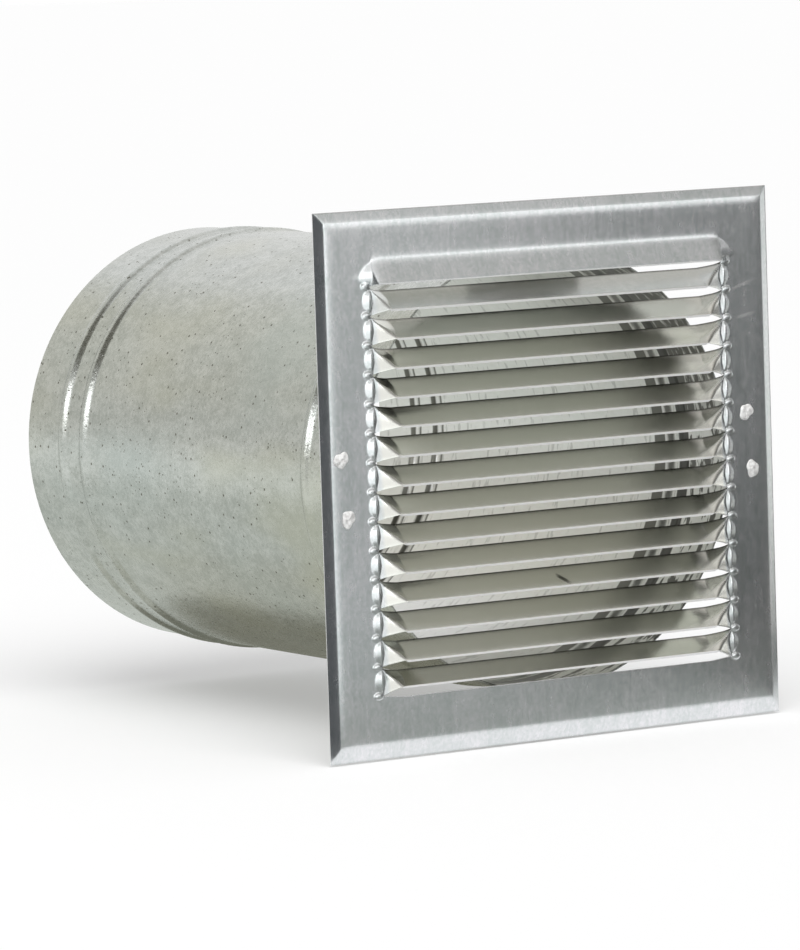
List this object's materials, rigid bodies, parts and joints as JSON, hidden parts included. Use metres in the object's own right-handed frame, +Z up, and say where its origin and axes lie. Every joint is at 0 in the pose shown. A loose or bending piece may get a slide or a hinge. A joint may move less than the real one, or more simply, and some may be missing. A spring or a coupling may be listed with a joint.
{
  "type": "louvred wall vent outlet",
  "caption": "Square pressed louvre grille riveted to a round beaded sheet-metal duct tube, set in an outside wall where a ventilation duct ends.",
  "frame": {"origin": "middle of the grille on the wall plane, where the back edge of the bent rim meets the wall", "axes": "+X right seen from outdoors, +Y into the wall along the duct, +Z up"},
  "size_m": [0.15, 0.1927, 0.15],
  "materials": {
    "grille_sheet": "rolled mill finish with fine upright streaks",
    "galvanised_sheet": "dull galvanised, lightly mottled, with small dark specks",
    "rivet_metal": "hammered bright"
  },
  "bodies": {
    "root": {"grille_plate": "grille_sheet", "duct_tube": "galvanised_sheet", "rivets": "rivet_metal"}
  },
  "joints": []
}
